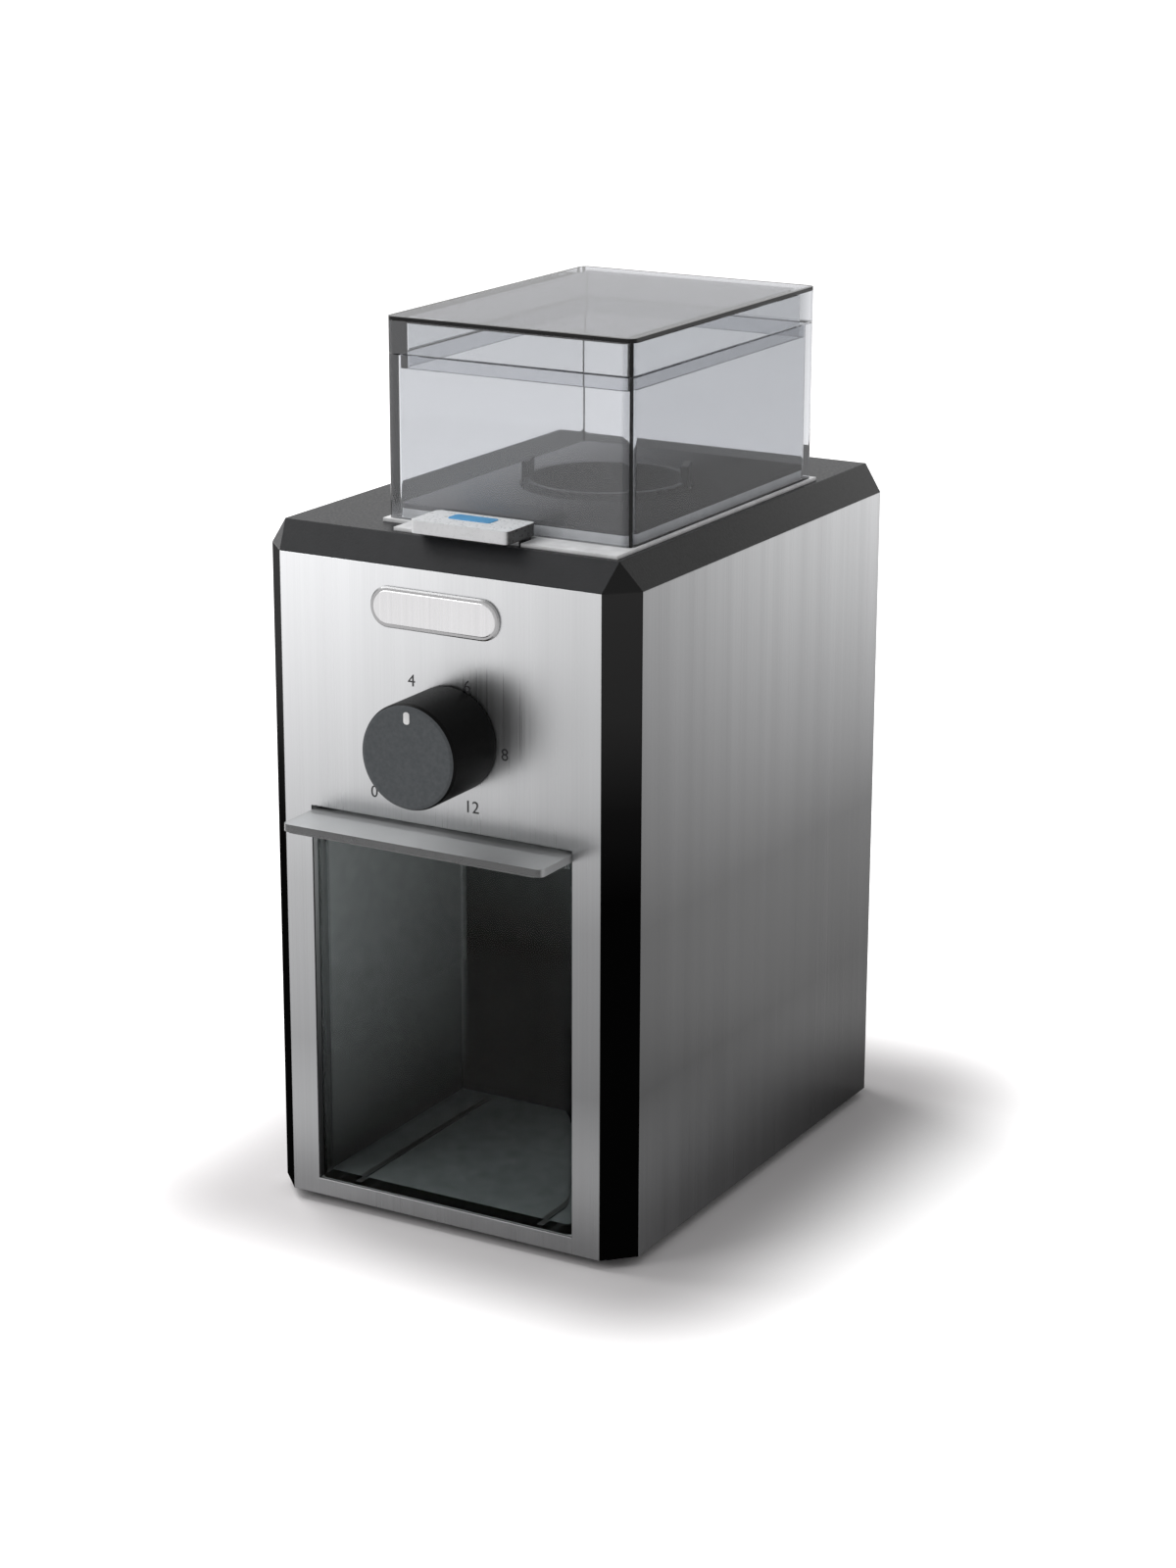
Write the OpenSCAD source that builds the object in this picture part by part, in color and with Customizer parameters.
// Burr coffee grinder: steel body, smoked bean hopper, pull-out grounds container,
// flat burrs driven through a two-stage gear train by a vertical universal motor.
// Millimetres, +Z up, front towards -Y. The origin is on the counter, below the
// middle of the overall width and depth.

/* [Body] */
// Width across the steel side panels
body_w = 118; // [114:1:126]
// Depth from the front panel to the rear cover
body_d = 162; // [158:1:174]
// Height of the top edge of the steel panels above the counter
panel_top_z = 193; // [191:1:199]
// Height of the lower edge of the steel panels above the counter
ground_gap = 3; // [2:0.5:5]
// Leg of the 45 degree corner posts
corner_leg = 8; // [6:0.5:10]
// Thickness of the steel panels
skin_t = 0.8; // [0.6:0.1:1.2]
// Wall of the moulded chassis
shell_t = 2.4; // [2:0.1:3]
// Depth of the folded hems of the steel panels
hem_d = 2.6; // [1.5:0.1:3]
// Thickness of the rear cover
rear_t = 2; // [1.6:0.1:2.4]
// Height of the bevelled top cover
cover_h = 7.8; // [6:0.1:9]
// Inset of the flat top from the body outline
cover_inset = 6; // [4:0.5:7]
// Wall of the top cover
cover_t = 2.4; // [2:0.1:3]
// Radius of the rubber feet
foot_r = 8; // [5:0.5:9]
// Distance of the foot centres from the body's side and end faces
foot_inset = 17; // [12:1:20]

/* [Container bay] */
// Width of the opening in the front panel
bay_w = 84.4; // [80:0.2:88]
// Height of the lower edge of the opening above the counter
bay_z0 = 8; // [7:0.5:9]
// Height of the opening
bay_h = 113; // [104:1:113]
// Depth of the bay behind the front panel
bay_d = 78; // [66:1:79]
// Wall of the bay liner
liner_t = 1.6; // [1.2:0.1:2]
// Height of the slide ribs on the bay floor
rib_h = 0.3; // [0.2:0.1:0.6]

/* [Grounds container] */
// Gap between the container and each side of the bay
container_gap = 0.5; // [0.3:0.1:1]
// Wall of the container
container_wall = 2.2; // [1.6:0.1:3]
// Radius of the container's upright edges
container_round = 2; // [1.5:0.1:4]
// Gap between the container lid and the top of the opening
container_top_gap = 1.2; // [1:0.1:4]
// Thickness of the container lid
container_lid_t = 2.2; // [1.6:0.1:3]
// How far the pull lip stands in front of the panel
lip_reach = 15.5; // [10:0.5:18]
// Height of the turned-down edge of the pull lip
lip_turn = 2.4; // [2:0.1:6]
// Radius of the inlet in the container lid
inlet_r = 11; // [9.5:0.5:13]

/* [Hopper] */
// Outer width of the bean hopper
hopper_w = 77; // [74:1:80]
// Outer depth of the bean hopper
hopper_d = 108; // [104:1:114]
// Sideways place of the hopper and burr axis
hopper_x = 12; // [8:0.5:12]
// Fore and aft place of the hopper and burr axis
hopper_y = -10; // [-10:0.5:-6]
// Wall of the hopper
hopper_wall = 2.6; // [2:0.1:3.2]
// Radius of the hopper's upright edges
hopper_round = 2.5; // [2:0.1:5]
// Height of the hopper wall above the collar
hopper_h = 45.4; // [35:0.1:70]
// Height of the shadow line between the hopper wall and its lid
seam_h = 0.4; // [0.2:0.1:0.8]
// Height of the hopper lid
hopper_lid_h = 10.4; // [8:0.1:14]
// Thickness of the hopper lid
hopper_lid_t = 2.2; // [1.8:0.1:3]
// Thickness of the collar ledge under the hopper
collar_t = 1; // [0.8:0.1:1.4]
// Height of the raised platform on the collar
platform_h = 2.6; // [2:0.1:4]
// Thickness of the hopper floor plate
floor_t = 1.4; // [1:0.1:2]
// How far the collar ledge stands in front of the hopper
ledge_d = 9.3; // [9:0.1:9.5]
// How far the front ledge starts in from the left side of the hopper
ledge_step = 8; // [4:0.5:12]

/* [Start button] */
// Width of the button cap
button_w = 31; // [26:0.5:34]
// Depth of the button cap
button_d = 14.8; // [13:0.1:14.8]
// Thickness of the button cap
button_t = 3.6; // [3:0.1:4.5]
// Sideways place of the button
button_x = 6; // [0:0.5:12]
// Travel of the button
button_travel = 1.5; // [1:0.1:1.6]
// Depth of the button's skirt
skirt_d = 6.2; // [5.6:0.1:6.4]

/* [Selector knob] */
// Radius of the selector knob
knob_r = 14.8; // [12:0.2:16]
// How far the knob stands in front of the panel
knob_reach = 22; // [18:0.5:26]
// Sideways place of the knob
knob_x = 4; // [-2:0.5:7]
// Height of the knob's axis
knob_z = 147; // [145:0.5:150]
// Gap between the knob and the panel
knob_gap = 1; // [0.6:0.1:2]
// Radius of the timer shaft
timer_shaft_r = 3; // [2.5:0.1:3.2]

/* [Gear train] */
// Module of the gears
gear_module = 0.8; // [0.78:0.01:0.8]
// Teeth of the motor pinion
pinion_teeth = 14; // [13:1:14]
// Teeth of the idler's large wheel
idler_wheel_teeth = 56; // [52:1:56]
// Teeth of the idler's small wheel
idler_pinion_teeth = 15; // [14:1:15]
// Teeth of the gear on the burr shaft
burr_gear_teeth = 60; // [56:1:60]
// Pressure angle of the teeth
pressure_angle = 25; // [22:1:25]
// Tooth backlash at the pitch circle
backlash = 0.16; // [0.1:0.01:0.3]
// Face width of the gears
gear_face = 5.5; // [4.5:0.1:5.5]

/* [Burrs] */
// Outer radius of the burrs
burr_r = 24; // [22:0.5:24]
// Inner radius of the upper burr
upper_burr_bore = 12.5; // [11:0.5:13]
// Thickness of each burr
burr_t = 4.5; // [4:0.1:5]
// Gap between the burrs at the finest setting
burr_gap = 0.5; // [0.3:0.1:0.8]
// Number of cutting teeth on each burr
burr_teeth = 18; // [12:1:24]
// Lift of the upper burr from finest to coarsest
burr_lift = 0.8; // [0.5:0.1:0.9]
// Radius of the burr shaft
burr_shaft_r = 4; // [3.5:0.1:4.2]

/* [Motor] */
// Radius of the rotor core
rotor_r = 17; // [15:0.5:17.5]
// Air gap between rotor and stator
air_gap = 0.6; // [0.4:0.1:1]
// Height of the lamination stacks
stack_h = 32; // [26:1:34]
// Width of the stator across its flats
stator_w = 56; // [52:1:58]
// Radius of the motor shaft
motor_shaft_r = 3; // [2.5:0.1:3.2]
// Radius of the cooling fan
fan_r = 26; // [22:0.5:27]
// Number of fan blades
fan_blades = 11; // [7:1:15]

/* [Cord inlet] */
// Sideways place of the cord inlet
gland_x = 34; // [30:1:34]
// Height of the cord inlet
gland_z = 26; // [25:1:32]
// Radius of the hole for the cord
gland_bore_r = 3.4; // [3:0.1:4]
// How far the gland stands behind the rear cover
gland_reach = 3.5; // [2:0.1:6]

/* [Hidden] */
$fn = 64;
e = 0.01;

// Overall frame: the origin lies under the middle of the overall depth
origin_shift = (knob_reach - gland_reach) / 2;
front_y = -body_d / 2;
rear_y = body_d / 2;
side_x = body_w / 2;
flat_w = body_w - 2 * corner_leg;
flat_d = body_d - 2 * corner_leg;
inner_w = body_w - 2 * (skin_t + shell_t);
inner_d = body_d - 2 * (skin_t + shell_t);
peg_inset = (corner_leg + skin_t + shell_t) / 2;
boss_x = inner_w / 2 - 4;
boss_y = inner_d / 4;
panel_h = panel_top_z - ground_gap;
cover_top_z = panel_top_z + cover_h;
screw_r = 1.5;
pilot_r = 1.3;
screw_head_r = 3;
screw_head_h = 1.8;
base_screw_l = 13;
base_screw_z = ground_gap + screw_head_h;
window_edge = 12;
window_side = 7;
rim_gap = 0.5;
rim_t = 2;
run_fit = 0.04;
slide_fit = 0.3;

// Container bay and container
bay_top_z = bay_z0 + bay_h;
bay_back_y = front_y + bay_d;
liner_z0 = bay_z0 - liner_t;
liner_top_z = bay_top_z + liner_t;
base_t = liner_z0 - ground_gap;
base_top_z = liner_z0;
container_w = bay_w - 2 * container_gap;
container_front_y = front_y + container_gap;
container_back_y = bay_back_y - container_gap;
container_d = container_back_y - container_front_y;
container_y = (container_back_y + container_front_y) / 2;
container_z0 = bay_z0 + rib_h;
container_lid_z = bay_top_z - container_top_gap - container_lid_t;
container_top_z = container_lid_z;
interlock_x = 24;
interlock_z = 96;

// Hopper stack
ledge_top_z = cover_top_z + collar_t;
platform_top_z = ledge_top_z + platform_h;
floor_top_z = platform_top_z + floor_t;
hopper_top_z = ledge_top_z + hopper_h;
hopper_lid_z = hopper_top_z;
hopper_front_y = hopper_y - hopper_d / 2;
hopper_fit = 0.3;
hopper_inner_round = max(0.4, hopper_round - hopper_wall / 2);
platform_w = hopper_w - 2 * (hopper_wall + hopper_fit);
platform_d = hopper_d - 2 * (hopper_wall + hopper_fit);
collar_edge = 0.9;

// Start button and its switch
button_z = cover_top_z + button_travel + 0.1;
button_back_y = hopper_front_y - 0.7;
button_y = button_back_y - button_d / 2;
skirt_w = button_w - 2;
skirt_y = button_back_y - 1.2 - skirt_d / 2;
skirt_bottom_z = cover_top_z - cover_t - button_travel - 2;
plunger_r = 1.7;
switch_top_z = cover_top_z - 15;
switch_w = 20;
switch_post_x = skirt_w / 2 + 4;
switch_post_r = 2.6;
switch_peg_r = 1;
switch_flange_t = 2;
switch_flange_z = switch_top_z - 3;
stem_r = 1.8;
switch_d = 10;
switch_h = 12;
plunger_top_z = switch_top_z + 3.5;
spring_wire_r = 0.4;
spring_r = 2.6;

// Knob and timer
knob_front_y = front_y - knob_reach;
timer_bush_r = 4.5;
timer_body_r = 14;
timer_body_d = 15;
timer_front_y = front_y + skin_t + shell_t;
timer_nut_t = 2.4;

// Grinding unit
burr_x = hopper_x;
burr_y = hopper_y;
gear_floor_t = 2.5;
case_z0 = liner_top_z + 1.4;
case_floor_z = case_z0 + gear_floor_t;
low_gear_z = case_floor_z + 1;
high_gear_z = low_gear_z + gear_face + 2.5;
cover_under_z = high_gear_z + gear_face + 1.6;
case_split_z = low_gear_z + gear_face + 1;
gear_cover_t = 2.2;
gear_cover_z = cover_under_z + gear_cover_t;
chamber_top_z = cover_top_z - cover_t - 2.4;
chamber_wall = 2.7;
chamber_floor_t = 3;
hub_r = burr_r + 3.5;
hub_clear = 1;
chamber_low_r = hub_r + hub_clear;
chamber_high_r = chamber_low_r + 1.8;
chamber_r = chamber_high_r + chamber_wall;
carrier_r = hub_r;
adjuster_r = chamber_high_r - 0.08;
thread_fit = 0.06;
ledge_z = chamber_top_z - 12;
adjuster_roof_t = 2;
carrier_top_z = chamber_top_z - adjuster_roof_t - 1.2 - burr_lift;
upper_burr_z = ledge_z - 4.8;
lower_burr_z = upper_burr_z - burr_gap - burr_t;
hub_t = 4.5;
burr_hole_ring = (upper_burr_bore + burr_r) / 2;
burr_hole_d = 2.4;
burr_hole_turn = 10;
burr_peg_r = 1.6;
nut_flange_r = 10.5;
nut_flange_t = 1.2;
carrier_web = 1.6;
leg_ring = hub_r - 6;
leg_angle = 45;
leg_r = 3.6;
hub_z = lower_burr_z - hub_t + 1.5;
vane_h = 2.6;
chamber_floor_z = hub_z - vane_h - 0.6;
chamber_z0 = chamber_floor_z - chamber_floor_t;
neck_r = 23;
neck_wall = 2;
neck_top_z = floor_top_z + 1.8;
neck_clear = 0.4;
hub_boss_r = 8;
bush_r = 6.5;
bush_boss_r = 9;
outlet_w = 18;
outlet_h = 9;
spout_y = burr_y - chamber_r - 1;
spout_d = chamber_r / 2;
chute_w = 24;
chute_d = 16;
chute_wall = 1.6;
chute_y = spout_y - chute_d / 2;
chute_top_z = chamber_floor_z + outlet_h + 5;

// Gear train: burr shaft, idler and motor axes
first_centre = gear_module * (pinion_teeth + idler_wheel_teeth) / 2;
second_centre = gear_module * (idler_pinion_teeth + burr_gear_teeth) / 2;
idler_angle = 105;
motor_angle = 118;
idler_x = burr_x + second_centre * cos(idler_angle);
idler_y = burr_y + second_centre * sin(idler_angle);
motor_x = idler_x + first_centre * cos(motor_angle);
motor_y = idler_y + first_centre * sin(motor_angle);
addendum = 0.85;
dedendum = 1.15;
idler_pin_r = 3;
case_wall = 2;
ear_r = 4.5;
ear_out = 3.5;
tip_clear = 1.6;
axial_play = 0.1;
burr_case_r = gear_module * burr_gear_teeth / 2 + tip_clear + case_wall;
idler_case_r = gear_module * idler_wheel_teeth / 2 + tip_clear + case_wall;
motor_case_r = gear_module * pinion_teeth / 2 + 5 + case_wall;

// Motor stack, from the fan upwards
fan_z = 20;
fan_h = 11;
lower_bracket_z = fan_z + fan_h + 3.5;
bracket_t = 3;
bracket_cup_h = 6;
stack_z = lower_bracket_z + 20;
winding_h = 8.5;
coil_h = 9;
commutator_z = stack_z + stack_h + winding_h + 2;
commutator_h = 10;
commutator_r = 10;
upper_bracket_z = commutator_z + commutator_h + 1.6;
motor_bush_r = 6;
mount_ring = stator_w / 2 + 8;
mount_h = 4;
bolt_ring = stator_w / 2 - 0.6;
brush_w = 5;
coil_slot = 6.5;
coil_gap = 0.4;
bolt_r = 1.8;
bolt_fit = 0.1;
collar_r = 5;

// Control board on the left wall
standoff_h = 4;
board_x = -inner_w / 2 + standoff_h;
board_z = 62;
board_h = 80;
board_d = 44;
board_y = 34;

// Cord gland
gland_wall = 3.5;
gland_fit = 0.1;
gland_nut_t = 3;

// ---------- shared shapes ----------

// Octagonal outline of the body, with 45 degree corners
function body_outline(w, d, leg) = [
    [-w / 2 + leg, -d / 2], [w / 2 - leg, -d / 2], [w / 2, -d / 2 + leg], [w / 2, d / 2 - leg],
    [w / 2 - leg, d / 2], [-w / 2 + leg, d / 2], [-w / 2, d / 2 - leg], [-w / 2, -d / 2 + leg]
];

// Rectangle with round corners, centred
module round_rect(w, d, r) {
    square([w - 2 * r, d], center = true);
    square([w, d - 2 * r], center = true);
    for (sx = [-1, 1]) {
        for (sy = [-1, 1]) {
            translate([sx * (w / 2 - r), sy * (d / 2 - r)]) circle(r, $fn = 32);
        }
    }
}

// Upright box with round corners, standing on z
module round_box(w, d, h, r) {
    linear_extrude(h) round_rect(w, d, r);
}

// Box centred in x and y, standing on z
module block(w, d, h) {
    translate([-w / 2, -d / 2, 0]) cube([w, d, h]);
}

// Cylinder between two heights
module rod(r, z0, z1) {
    translate([0, 0, z0]) cylinder(r = r, h = z1 - z0);
}

// Ring between two heights
module tube(r_out, r_in, z0, z1) {
    difference() {
        rod(r_out, z0, z1);
        rod(r_in, z0 - 1, z1 + 1);
    }
}

// Cylinder along y between two places
module rod_y(r, y0, y1) {
    translate([0, y0, 0]) rotate([-90, 0, 0]) cylinder(r = r, h = y1 - y0);
}

// Copies at equal angles on a circle
module around(count, radius, start = 0) {
    for (i = [0 : count - 1]) {
        rotate([0, 0, start + i * 360 / count]) translate([radius, 0, 0]) children();
    }
}

// Copies in the four quarters of the body
module quarters(x, y) {
    for (sx = [-1, 1]) {
        for (sy = [-1, 1]) {
            translate([sx * x, sy * y, 0]) children();
        }
    }
}

// Pan-head screw, head down, at height z
module screw_up(z, length) {
    difference() {
        rod(screw_head_r, z - screw_head_h, z);
        translate([0, 0, z - screw_head_h - e]) block(3.6, 0.9, 0.9 + e);
        translate([0, 0, z - screw_head_h - e]) block(0.9, 3.6, 0.9 + e);
    }
    rod(pilot_r, z, z + length);
}

// Pan-head screw, head up, at height z
module screw_down(z, length) {
    difference() {
        rod(screw_head_r, z, z + screw_head_h);
        translate([0, 0, z + screw_head_h - 0.9]) block(3.6, 0.9, 0.9 + e);
        translate([0, 0, z + screw_head_h - 0.9]) block(0.9, 3.6, 0.9 + e);
    }
    rod(pilot_r, z - length, z);
}

module at_burr() {
    translate([burr_x, burr_y, 0]) children();
}

module at_idler() {
    translate([idler_x, idler_y, 0]) children();
}

module at_motor() {
    translate([motor_x, motor_y, 0]) children();
}

// ---------- gear teeth ----------

// Involute function, in radians
function involute(a) = tan(a) - a * PI / 180;

// Half the tooth angle at radius r, in degrees
function half_tooth(teeth, r) =
    let (
        pitch_r = gear_module * teeth / 2,
        base_r = pitch_r * cos(pressure_angle),
        thickness = PI * gear_module / 2 - backlash / 2,
        at = acos(min(1, base_r / max(r, base_r)))
    )
    (thickness / (2 * pitch_r) + involute(pressure_angle) - involute(at)) * 180 / PI;

// Outline of a spur gear with a tooth centred on +x
function gear_outline(teeth) =
    let (
        pitch_r = gear_module * teeth / 2,
        base_r = pitch_r * cos(pressure_angle),
        tip_r = pitch_r + addendum * gear_module,
        root_r = pitch_r - dedendum * gear_module,
        low_r = max(base_r, root_r),
        radii = [root_r, low_r, (low_r * 2 + tip_r) / 3, (low_r + tip_r * 2) / 3, tip_r]
    )
    [
        for (i = [0 : teeth - 1])
            for (side = [-1, 1])
                for (k = [0 : 4])
                    let (
                        r = side < 0 ? radii[k] : radii[4 - k],
                        a = i * 360 / teeth + side * half_tooth(teeth, r)
                    )
                    if (root_r < base_r - 0.01 || r > root_r || k == (side < 0 ? 0 : 4))
                        [r * cos(a), r * sin(a)]
    ];

module gear_wheel(teeth, z, h, turn) {
    rotate([0, 0, turn]) translate([0, 0, z]) linear_extrude(h) polygon(gear_outline(teeth));
}

// ---------- housing ----------

// Moulded chassis: corner posts, wall behind the steel panels and screw bosses
module chassis() {
    color("#1a1b1d") difference() {
        union() {
            translate([0, 0, ground_gap]) linear_extrude(panel_h) difference() {
                polygon(body_outline(body_w, body_d, corner_leg));
                polygon(body_outline(inner_w, inner_d, corner_leg));
            }
            quarters(boss_x, boss_y) {
                translate([0, 0, base_top_z]) block(10, 8, 20);
            }
        }
        // seats of the steel panels and the rear cover
        for (s = [-1, 1]) {
            translate([s * (side_x - skin_t / 2 + 1), 0, ground_gap - 1]) block(skin_t + 2, flat_d, panel_h + 2);
        }
        translate([0, front_y + skin_t / 2 - 1, ground_gap - 1]) block(flat_w, skin_t + 2, panel_h + 2);
        translate([0, rear_y - rear_t / 2 + 1, ground_gap - 1]) block(flat_w, rear_t + 2, panel_h + 2);
        // hem seats
        for (z = [ground_gap - 1, panel_top_z - skin_t]) {
            for (s = [-1, 1]) {
                translate([s * (side_x - (skin_t + hem_d) / 2 + 1), 0, z]) {
                    block(skin_t + hem_d + 2, flat_d, skin_t + 1);
                }
            }
            translate([0, front_y + (skin_t + hem_d) / 2 - 1, z]) block(flat_w, skin_t + hem_d + 2, skin_t + 1);
        }
        // opening for the bay liner
        translate([0, front_y, liner_z0]) {
            block(bay_w + 2 * liner_t, 4 * shell_t, bay_h + 2 * liner_t);
        }
        // window behind the rear cover
        translate([0, rear_y, ground_gap + window_edge]) {
            block(flat_w - 2 * window_side, 4 * shell_t, panel_h - 2 * window_edge);
        }
        // timer bushing
        translate([knob_x, 0, knob_z]) rod_y(timer_bush_r + 0.2, front_y - 1, front_y + 8);
        // pilot holes for the base screws and sockets for the cover pegs
        quarters(boss_x, boss_y) rod(pilot_r, base_top_z - 1, base_screw_z + base_screw_l + 2);
        quarters(side_x - peg_inset, rear_y - peg_inset) {
            rod(1.5, panel_top_z - 7, panel_top_z + 1);
        }
    }
}

// Steel plate lying in the xz plane with its outside face at y = 0 and folded hems
module steel_plate(w) {
    translate([-w / 2, 0, ground_gap]) cube([w, skin_t, panel_h]);
    for (z = [ground_gap, panel_top_z - skin_t]) {
        translate([-w / 2, skin_t, z]) cube([w, hem_d, skin_t]);
    }
}

module front_panel() {
    color("#c9cacb") difference() {
        translate([0, front_y, 0]) steel_plate(flat_w);
        translate([0, front_y, bay_z0]) block(bay_w, 4, bay_h);
        translate([knob_x, 0, knob_z]) rod_y(timer_bush_r + 0.2, front_y - 1, front_y + 4);
    }
}

module left_panel() {
    color("#bfc0c2") translate([-side_x, 0, 0]) rotate([0, 0, -90]) steel_plate(flat_d);
}

module right_panel() {
    color("#bfc0c2") translate([side_x, 0, 0]) rotate([0, 0, 90]) steel_plate(flat_d);
}

// Louvre slots of the rear cover and the hole for the cord gland
module rear_holes() {
    slot_w = 30;
    slot_h = 2.4;
    pitch = 5.2;
    for (row = [0 : 8]) {
        for (s = [-1, 1]) {
            translate([s * (slot_w / 2 + 3), rear_y, ground_gap + 45 + row * pitch]) {
                block(slot_w, 4 * rear_t, slot_h);
            }
        }
    }
    for (row = [0 : 4]) {
        translate([0, rear_y, panel_top_z - 53 + row * pitch]) block(2 * slot_w + 6, 4 * rear_t, slot_h);
    }
    translate([gland_x, 0, gland_z]) rod_y(gland_bore_r + gland_wall + gland_fit, rear_y - 8, rear_y + 2);
}

// Moulded rear cover with a locating rim that enters the chassis window
module rear_cover() {
    rim_z = ground_gap + window_edge + rim_gap;
    rim_w = flat_w - 2 * (window_side + rim_gap);
    rim_h = panel_h - 2 * (window_edge + rim_gap);
    color("#17181a") difference() {
        union() {
            translate([0, rear_y - rear_t / 2, ground_gap]) block(flat_w, rear_t, panel_h);
            difference() {
                translate([0, rear_y - rear_t - 1, rim_z]) block(rim_w, 2 + e, rim_h);
                translate([0, rear_y - rear_t - 1, rim_z + rim_t]) {
                    block(rim_w - 2 * rim_t, 4, rim_h - 2 * rim_t);
                }
            }
        }
        rear_holes();
    }
}

// Bevelled top cover whose corner posts run out to a point on the flat top
module cover_solid(inset, top) {
    hull() {
        translate([0, 0, panel_top_z]) linear_extrude(e) {
            polygon(body_outline(body_w - 2 * inset, body_d - 2 * inset, corner_leg - inset * 0.6));
        }
        translate([0, 0, top - e]) linear_extrude(e) {
            square([body_w - 2 * (cover_inset + inset), body_d - 2 * (cover_inset + inset)], center = true);
        }
    }
}

// Opening for the skirt of the start button
module button_opening(z0, z1) {
    translate([button_x, skirt_y, z0]) {
        block(skirt_w + 2 * slide_fit, skirt_d + 2 * slide_fit, z1 - z0);
    }
}

module top_cover() {
    color("#1c1d1f") {
        difference() {
            cover_solid(0, cover_top_z);
            difference() {
                cover_solid(cover_t, cover_top_z - cover_t);
                translate([0, 0, panel_top_z - 1]) linear_extrude(0.9) square([body_w, body_d], center = true);
            }
            translate([0, 0, panel_top_z - 1]) linear_extrude(1.2) {
                polygon(body_outline(body_w - 2 * cover_t, body_d - 2 * cover_t, corner_leg - cover_t * 0.6));
            }
            at_burr() rod(neck_r + neck_clear, panel_top_z, cover_top_z + 1);
            button_opening(panel_top_z, cover_top_z + 1);
            collar_screws_at() rod(pilot_r, panel_top_z, cover_top_z + 1);
        }
        // pegs that enter the corner posts
        quarters(side_x - peg_inset, rear_y - peg_inset) {
            rod(1.4, panel_top_z - 6, panel_top_z + 2.5);
        }
        // posts with staked pegs that carry the start switch
        switch_posts() {
            rod(switch_post_r, switch_flange_z + switch_flange_t, cover_top_z - cover_t + 0.6);
            rod(switch_peg_r, switch_flange_z - 0.5, switch_flange_z + switch_flange_t + e);
            rod(switch_peg_r + 0.8, switch_flange_z - 0.9, switch_flange_z);
        }
    }
}

// Places of the two posts beside the skirt of the start button
module switch_posts() {
    for (s = [-1, 1]) {
        translate([button_x + s * switch_post_x, skirt_y, 0]) children();
    }
}

// Screw places of the collar, under the hopper floor
module collar_screws_at() {
    translate([hopper_x, hopper_y, 0]) quarters(platform_w / 2 - 8, platform_d / 2 - 8) children();
}

module base_plate() {
    outline_gap = 0.3;
    color("#17181a") difference() {
        union() {
            translate([0, 0, ground_gap]) linear_extrude(base_t) {
                polygon(body_outline(inner_w - 2 * outline_gap, inner_d - 2 * outline_gap, corner_leg));
            }
            // posts for the motor mounts
            at_motor() around(4, mount_ring, 45) rod(5, base_top_z - e, lower_bracket_z - mount_h);
        }
        at_motor() around(4, mount_ring, 45) rod(pilot_r, lower_bracket_z - mount_h - 12, lower_bracket_z);
        // air inlet under the fan
        at_motor() {
            for (ring = [8, 15, 22]) {
                for (i = [0 : 5]) {
                    rotate([0, 0, i * 60]) translate([0, 0, ground_gap - 1]) {
                        rotate_extrude(angle = 44) translate([ring, 0]) square([3.4, base_t + 2]);
                    }
                }
            }
        }
        quarters(boss_x, boss_y) rod(screw_r + 0.2, ground_gap - 1, base_top_z + 1);
        quarters(boss_x, boss_y) rod(screw_head_r + 0.2, ground_gap - 1, ground_gap + screw_head_h);
        quarters(side_x - foot_inset, rear_y - foot_inset) rod(3, ground_gap - 1, base_top_z + 1);
    }
}

module rubber_feet() {
    color("#2a2a2b") quarters(side_x - foot_inset, rear_y - foot_inset) {
        rod(foot_r, 0, ground_gap);
        rod(3, ground_gap, base_top_z - 0.4);
    }
}

// Self-tapping screws of the base plate, of the collar under the hopper floor and of the gearbox
module housing_screws() {
    color("#a9abad") {
        quarters(boss_x, boss_y) screw_up(base_screw_z, base_screw_l);
        collar_screws_at() screw_down(platform_top_z - screw_head_h, collar_t + platform_h + 1.5);
        gearbox_ears() screw_down(gear_cover_z, gear_cover_z - case_z0 + 1);
        gearbox_back_ears() screw_down(gear_cover_z, gear_cover_z - case_z0 - 1);
        at_burr() around(3, leg_ring, leg_angle) screw_up(cover_under_z, gear_cover_t + 8);
    }
}

// Lining of the container bay, open at the front, with slide ribs and a chute hole
module bay_liner() {
    liner_y0 = front_y + skin_t;
    liner_d = bay_back_y + liner_t - liner_y0;
    color("#202123") difference() {
        union() {
            translate([0, liner_y0 + liner_d / 2, liner_z0]) {
                block(bay_w + 2 * liner_t, liner_d, bay_h + 2 * liner_t);
            }
            // bosses that carry the gearbox
            gearbox_ears() rod(ear_r, liner_top_z - e, case_z0);
        }
        gearbox_ears() rod(pilot_r, liner_top_z, case_z0 + 1);
        difference() {
            translate([0, front_y + bay_d / 2, bay_z0]) block(bay_w, bay_d, bay_h);
            for (s = [-1, 1]) {
                translate([s * bay_w * 0.36, front_y + bay_d / 2, bay_z0 - e]) block(2, bay_d - 6, rib_h + e);
            }
        }
        translate([burr_x, chute_y, bay_top_z - 1]) {
            block(chute_w - 2 * chute_wall, chute_d - 2 * chute_wall, liner_t + 2);
        }
        translate([interlock_x, 0, interlock_z]) rod_y(plunger_r + 0.2, bay_back_y - 1, bay_back_y + liner_t + 1);
    }
}

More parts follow.
